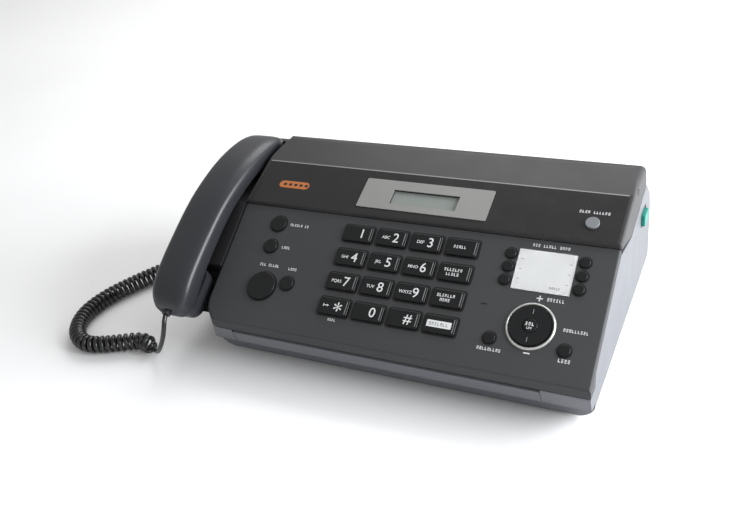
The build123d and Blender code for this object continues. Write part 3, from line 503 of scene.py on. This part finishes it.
def navigation_trim():
    """The silver ring round the navigation key, and the marks on it and on its centre key."""
    low, high = local_box("navigation_key", PANEL)
    centre = ((low.x + high.x) / 2, (low.y + high.y) / 2)
    inner, outer = 15.9 * MM, 17.9 * MM
    profile = [(inner, 0.0), (inner + 0.2 * MM, 0.9 * MM), (inner + 0.7 * MM, 1.35 * MM),
               (outer - 0.8 * MM, 1.2 * MM), (outer - 0.25 * MM, 0.6 * MM), (outer, 0.0)]
    ring = add_piece("navigation_ring", lathe(profile, centre), "cabinet",
                     MATERIALS["ring_silver"], PANEL)
    smooth(ring)
    marks = []
    for dv in (10.6, -10.6):
        marks.append((centre[0] - 0.22 * MM, centre[0] + 0.22 * MM,
                      centre[1] + (dv - 1.7) * MM, centre[1] + (dv + 1.7) * MM))
    printed_marks("navigation_marks", marks, "navigation_key", PANEL, high.z, "print_and_highlight_grey")
    high = local_box("set_key", PANEL)[1]
    rects = caption_marks(centre[0], centre[1] + 0.9 * MM, [3], 2.6 * MM, "set")
    rects += caption_marks(centre[0], centre[1] - 2.1 * MM, [3], 1.6 * MM, "set2")
    printed_marks("set_key_marks", rects, "set_key", PANEL, high.z)


def directory_cover():
    """The clear cover over the card, and the lines printed on the card."""
    low, high = local_box("directory_card", PANEL)

    def build(work):
        outline = rounded_outline(low.x, high.x, low.y, high.y, 0.8 * MM)
        add_slab(work, outline, high.z + 0.1 * MM, high.z + 0.75 * MM)
    add_piece("directory_cover", mesh_from(build, "directory_cover"), "cabinet", CLEAR, PANEL)
    lines = []
    for row in range(3):
        level = low.y + (high.y - low.y) * (0.25 + 0.25 * row)
        lines.append((low.x + 2.5 * MM, low.x + 4.5 * MM, level, level + 0.3 * MM))
        lines.append((high.x - 4.5 * MM, high.x - 2.5 * MM, level, level + 0.3 * MM))
    lines += caption_marks(high.x - 11.0 * MM, low.y + 4.0 * MM, [5], 1.8 * MM, "lower")
    printed_marks("directory_lines", lines, "cabinet", PANEL, high.z - 0.05 * MM, "print_and_highlight_grey")


def cover_screw():
    """The screw in the top cover's right cheek."""
    face_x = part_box("top_cover")[1][0]
    plane = Matrix.Translation((face_x, 52.0 * MM, 109.0 * MM)) @ Matrix.Rotation(math.pi / 2, 4, "Y")
    middle = 0.0008 * MM
    profile = [(middle, 0.25 * MM), (2.2 * MM, 0.25 * MM), (2.6 * MM, 0.05 * MM), (2.6 * MM, -0.4 * MM),
               (middle, -0.4 * MM)]
    piece = add_piece("cover_screw", lathe(profile, (0, 0), 32), "cover",
                      MATERIALS["cradle_plastic"], plane)
    smooth(piece)


key_legends()
key_wells()
edge_lines()
function_marks()
panel_captions()
band_marks()
navigation_trim()
directory_cover()
cover_screw()


# ---------------------------------------------------------------- handset
HANDSET_X = -157.5
# along the arched grip: upper and lower point (y, z), width
GRIP = [
    ((-108.0, 55.5), (-103.5, 43.0), 25.0),
    ((-102.5, 67.0), (-93.0, 46.5), 34.0),
    ((-88.0, 79.0), (-77.5, 60.0), 36.0),
    ((-62.0, 93.4), (-52.5, 75.5), 36.0),
    ((-26.0, 109.6), (-17.5, 92.5), 36.4),
    ((14.0, 119.6), (18.0, 102.0), 37.4),
    ((48.0, 121.6), (48.0, 103.5), 38.0),
    ((71.5, 118.0), (66.5, 101.5), 36.0),
    ((81.5, 109.6), (76.5, 100.5), 26.0),
]
GRIP_STEPS = 8
SECTION_STEPS = 24
COLLAR_SIDES = 24
MOUTH_FACE = -8.0                 # height of the mouthpiece pad's face along the panel's outward axis
EAR_FACE = 97.4                   # height of the earpiece pad's face above the floor
EAR_Y = 58.0
CORD_EXIT = (-160.0, -108.57, 48.23)


def between(table, place):
    """A smooth value between the rows of a table, at a fractional row."""
    row = min(int(place), len(table) - 2)
    t = place - row
    here, there = table[row], table[row + 1]
    before = table[row - 1] if row > 0 else here
    after = table[row + 2] if row + 2 < len(table) else there
    return 0.5 * ((2 * here) + (there - before) * t + (2 * before - 5 * here + 4 * there - after) * t * t
                  + (3 * here - before - 3 * there + after) * t * t * t)


def grip_ring(place, scale):
    """Middle, half width, half height and upward direction of the grip at a fractional station."""
    upper = between([Vector((0, *row[0])) for row in GRIP], place)
    lower = between([Vector((0, *row[1])) for row in GRIP], place)
    width = between([row[2] for row in GRIP], place)
    middle = (upper + lower) / 2
    middle.x = HANDSET_X
    rise = (upper - lower) / 2
    return middle, width / 2 * scale, rise.length * scale, rise.normalized()


def grip_half(work, side):
    """The crowned back of the handset when side is 1, the flatter inner half when it is -1."""
    last = len(GRIP) - 1
    places = [(0.0, 0.72), (0.06, 0.90), (0.16, 0.98)]
    places += [(step / GRIP_STEPS, 1.0) for step in range(3, last * GRIP_STEPS - 2)]
    places += [(last - 0.2, 1.0), (last - 0.08, 0.95), (last, 0.78)]
    power = 2.0 / (3.9 if side > 0 else 5.0)
    inset = 0.0 if side > 0 else 0.4
    rings = []
    for place, scale in places:
        middle, half_width, half_height, up = grip_ring(place, scale)
        ring = []
        for step in range(SECTION_STEPS + 1):
            angle = math.pi * step / SECTION_STEPS
            across = math.copysign(abs(math.cos(angle)) ** power, math.cos(angle)) * (half_width - inset)
            height = side * (abs(math.sin(angle)) ** power) * (half_height - inset / 2)
            ring.append(work.verts.new((middle + Vector((across, 0, 0)) + up * height) * MM))
        rings.append(ring)
    for here, there in zip(rings, rings[1:]):
        bridge(work, here, there)
    work.faces.new(rings[0])
    work.faces.new(rings[-1])


def creased(piece, degrees=40.0):
    """Smooth shading with crisp edges where faces meet at more than an angle."""
    smooth(piece)
    piece.data.set_sharp_from_angle(angle=math.radians(degrees))


def handset_pads(work):
    """The pads over the mouthpiece and the earpiece, with softened rims."""
    mouth = pad_slab(work, -175.0, -140.0, -4.0, 36.0, 9.0, MOUTH_FACE, 6.0)
    bmesh.ops.transform(work, matrix=PANEL, verts=mouth)
    pad_slab(work, -175.0, -140.0, 38.0, 78.0, 10.0, EAR_FACE, 106.4)


def pad_slab(work, u0, u1, v0, v1, corner, h0, h1):
    """A rounded pad in millimetres, narrower at its face, and the vertices that make it."""
    loops = []
    for inset, h in ((1.2, h0), (0.4, h0 + 0.3), (0.0, h0 + 1.2), (0.0, h1)):
        outline = rounded_outline(u0 + inset, u1 - inset, v0 + inset, v1 - inset, corner - inset, 8)
        loops.append([work.verts.new((u * MM, v * MM, h * MM)) for u, v in outline])
    for here, there in zip(loops, loops[1:]):
        bridge(work, here, there)
    work.faces.new(loops[0])
    work.faces.new(loops[-1])
    return [vertex for loop in loops for vertex in loop]


def cord_collar(work):
    """The short collar that the cord comes out of."""
    direction = Vector((0, -0.9409, -0.3387))
    exit_point = Vector(CORD_EXIT) * MM
    side = Vector((1, 0, 0))
    other = direction.cross(side)
    rings = []
    for along, radius in ((-6.0, 3.6), (-0.5, 3.6), (0.0, 3.1), (0.0, 1.7)):
        ring = []
        for step in range(COLLAR_SIDES):
            angle = 2 * math.pi * step / COLLAR_SIDES
            spot = exit_point + direction * along * MM
            reach = (side * math.cos(angle) + other * math.sin(angle)) * radius * MM
            ring.append(work.verts.new(spot + reach))
        rings.append(ring)
    for here, there in zip(rings, rings[1:]):
        bridge(work, here, there)
    work.faces.new(rings[0])
    work.faces.new(rings[-1])


def sound_holes(work):
    """Painted shade: dark discs where the holes in the faces of both pads lie in shade."""
    spots = []
    for column in (-4.0, 0.0, 4.0):
        for row in (-2.0, 2.0):
            spots.append((PANEL, HANDSET_X + column, 16.0 + row, MOUTH_FACE, 1.0))
    level = Matrix.Identity(4)
    for u, v in round_outline(HANDSET_X, EAR_Y, 6, 8) + [(HANDSET_X, EAR_Y)]:
        spots.append((level, u, v, EAR_FACE, 1.2))
    for plane, u, v, h, radius in spots:
        outline = round_outline(u, v, radius, 16)
        known = len(work.verts)
        add_slab(work, [(a * MM, b * MM) for a, b in outline], (h - 0.05) * MM, (h + 0.02) * MM)
        work.verts.ensure_lookup_table()
        bmesh.ops.transform(work, matrix=plane, verts=work.verts[known:])


def handset():
    """Both shells of the handset, and the painted shade of the holes in its pads."""
    back = add_piece("handset_back", mesh_from(lambda work: grip_half(work, 1), "handset_back"), "handset",
                     MATERIALS["handset_plastic"])
    creased(back)
    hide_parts("handset_back_shell")

    def build(work):
        grip_half(work, -1)
        handset_pads(work)
        cord_collar(work)
    inner = add_piece("handset_inner", mesh_from(build, "handset_inner"), "handset",
                      MATERIALS["handset_plastic"])
    creased(inner)
    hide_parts("handset_inner_shell")
    add_piece("handset_hole_shade", mesh_from(sound_holes, "handset_hole_shade"), "handset",
              MATERIALS["opening_shade_black"])


handset()


# ---------------------------------------------------------------- handset cord
CORD_DIAMETER = 3.8 * MM
COIL_RADIUS = 5.6 * MM
COIL_PITCH = 4.7 * MM
LOOSE_PITCH = 5.8 * MM            # where the coil starts, at the handset's end
LOOSE_STRETCH = 75.0 * MM         # the pitch has tightened this far along the route
COIL_Z = 7.6
CORD_ROUTE = [
    CORD_EXIT, (-159.3, -112.4, 46.0), (-159.0, -115.6, 40.5), (-161.3, -117.4, 32.0),
    (-165.5, -118.0, 23.5), (-171.0, -117.2, 15.5), (-177.0, -114.0, 10.0), (-183.0, -109.8, COIL_Z),
    (-189.5, -106.3, COIL_Z), (-203.0, -101.5, COIL_Z), (-226.0, -113.5, COIL_Z), (-249.0, -121.5, COIL_Z),
    (-270.0, -110.0, COIL_Z), (-281.5, -85.0, COIL_Z), (-277.5, -57.0, COIL_Z), (-264.0, -30.0, COIL_Z),
    (-247.0, -3.0, COIL_Z), (-227.0, 20.0, COIL_Z), (-205.0, 36.0, COIL_Z), (-184.0, 43.0, COIL_Z),
    (-174.0, 46.333, COIL_Z), (-164.5, 48.8, 11.5), (-156.5, 49.8, 16.5), (-149.0, 50.0, 20.0),
    (-139.7, 50.0, 20.0),
]
COIL_START = Vector((-186.5, -107.4, COIL_Z)) * MM
COIL_END = Vector((-184.0, 43.0, COIL_Z)) * MM
TURN_STEPS = 16


def route_line(route):
    """Evenly spaced points along the smooth line through the route."""
    data = bpy.data.curves.new("cord_route", "CURVE")
    data.dimensions = "3D"
    spline = data.splines.new("NURBS")
    spline.points.add(len(route) - 1)
    for point, place in zip(spline.points, route):
        point.co = (*[value * MM for value in place], 1.0)
    spline.order_u = 3
    spline.use_endpoint_u = True
    spline.resolution_u = 24
    holder = bpy.data.objects.new("cord_route", data)
    bpy.context.scene.collection.objects.link(holder)
    bpy.context.view_layer.update()
    line = bpy.data.meshes.new_from_object(holder.evaluated_get(bpy.context.evaluated_depsgraph_get()))
    points = [vertex.co.copy() for vertex in line.vertices]
    bpy.data.objects.remove(holder)
    bpy.data.meshes.remove(line)
    return points


def resample(points, step):
    """Points a fixed distance apart along a line, with its two ends kept."""
    spots = [points[0]]
    left = step
    for here, there in zip(points, points[1:]):
        run = (there - here).length
        done = 0.0
        while run - done >= left:
            done += left
            spots.append(here.lerp(there, done / run))
            left = step
        left -= run - done
    spots.append(points[-1])
    return spots


def curly_line():
    """The cord's centreline: straight at both ends, a helix between."""
    step = COIL_PITCH / TURN_STEPS
    spots = resample(route_line(CORD_ROUTE), step)
    start = min(range(len(spots)), key=lambda i: (spots[i] - COIL_START).length)
    end = min(range(len(spots)), key=lambda i: (spots[i] - COIL_END).length)
    ramp = TURN_STEPS * 1.2
    line = []
    angle = 0.0
    side = Vector((0, 0, 1))
    for index, spot in enumerate(spots):
        ahead = spots[min(index + 1, len(spots) - 1)] - spots[max(index - 1, 0)]
        ahead.normalize()
        side = (side - ahead * side.dot(ahead)).normalized()
        other = ahead.cross(side)
        inside = min(index - start, end - index)
        share = max(0.0, min(1.0, inside / ramp))
        swell = share * share * (3 - 2 * share) * COIL_RADIUS
        loose = max(0.0, 1.0 - max(0, index - start) * step / LOOSE_STRETCH)
        if index > start:
            angle += 2 * math.pi * step / (COIL_PITCH + (LOOSE_PITCH - COIL_PITCH) * loose)
        if start < index < end or index % 3 == 0 or index in (0, len(spots) - 1):
            line.append(spot + side * (swell * math.cos(angle)) + other * (swell * math.sin(angle)))
    return line


def tube(line, radius, sides=12):
    """A closed round tube along a line."""
    def build(work):
        rings = []
        side = Vector((0, 0, 1))
        for index, spot in enumerate(line):
            ahead = line[min(index + 1, len(line) - 1)] - line[max(index - 1, 0)]
            ahead.normalize()
            side = (side - ahead * side.dot(ahead)).normalized()
            other = ahead.cross(side)
            ring = []
            for corner in range(sides):
                angle = 2 * math.pi * corner / sides
                reach = side * (radius * math.cos(angle)) + other * (radius * math.sin(angle))
                ring.append(work.verts.new(spot + reach))
            rings.append(ring)
        for here, there in zip(rings, rings[1:]):
            bridge(work, here, there)
        work.faces.new(rings[0][::-1])
        work.faces.new(rings[-1])
    return mesh_from(build, "tube")


def line_length(line):
    return sum((there - here).length for here, there in zip(line, line[1:]))


def handset_cord():
    """The curly cord, from the handset to the cabinet, in place of its plain CAD solids."""
    line = curly_line()
    mesh = tube(line, CORD_DIAMETER / 2)
    mesh.materials.append(MATERIALS["cord_vinyl"])
    cord = bpy.data.objects.new("handset_cord", mesh)
    bpy.context.scene.collection.objects.link(cord)
    smooth(cord)
    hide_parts("handset_cord_lead", "handset_cord_coil", "handset_cord_tail")
    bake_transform(cord)
    print("cord length", round(line_length(line), 3))


handset_cord()


# ---------------------------------------------------------------- floor and light
def make_floor():
    def build(work):
        reach = 6.0
        corners = [(-reach, -reach), (reach, -reach), (reach, reach), (-reach, reach)]
        work.faces.new([work.verts.new((x, y, 0.0)) for x, y in corners])
    mesh = mesh_from(build, "floor")
    material, nodes, links, shader = new_material("floor_white")
    slow = noise(nodes, links, 3.0)
    tone = vary(nodes, links, slow, (0.90, 0.90, 0.90, 1), (0.93, 0.93, 0.93, 1))
    links.new(tone, shader.inputs["Base Color"])
    shader.inputs["Roughness"].default_value = 0.7
    mesh.materials.append(material)
    floor = bpy.data.objects.new("floor", mesh)
    bpy.context.scene.collection.objects.link(floor)


def area_light(name, place, target, size, energy, colour=(1, 1, 1)):
    data = bpy.data.lights.new(name, "AREA")
    data.shape = "RECTANGLE"
    data.size, data.size_y = size
    data.energy = energy
    data.color = colour
    lamp = bpy.data.objects.new(name, data)
    bpy.context.scene.collection.objects.link(lamp)
    lamp.location = place
    lamp.rotation_euler = (Vector(target) - Vector(place)).to_track_quat("-Z", "Y").to_euler()


def make_world():
    world = bpy.data.worlds.new("studio")
    bpy.context.scene.world = world
    world.use_nodes = True
    sky = world.node_tree.nodes["Background"]
    sky.inputs["Color"].default_value = (1.0, 1.0, 1.0, 1.0)
    sky.inputs["Strength"].default_value = 0.52


make_floor()
make_world()
area_light("side_softbox", (1.1, 0.15, 0.50), (0.15, 0.0, 0.06), (1.0, 0.8), 31.0, (0.95, 0.975, 1.0))
area_light("back_softbox", (-0.1, 1.25, 1.25), (0.0, 0.0, 0.08), (1.5, 0.8), 15.0)
bpy.context.scene.view_settings.view_transform = "Standard"
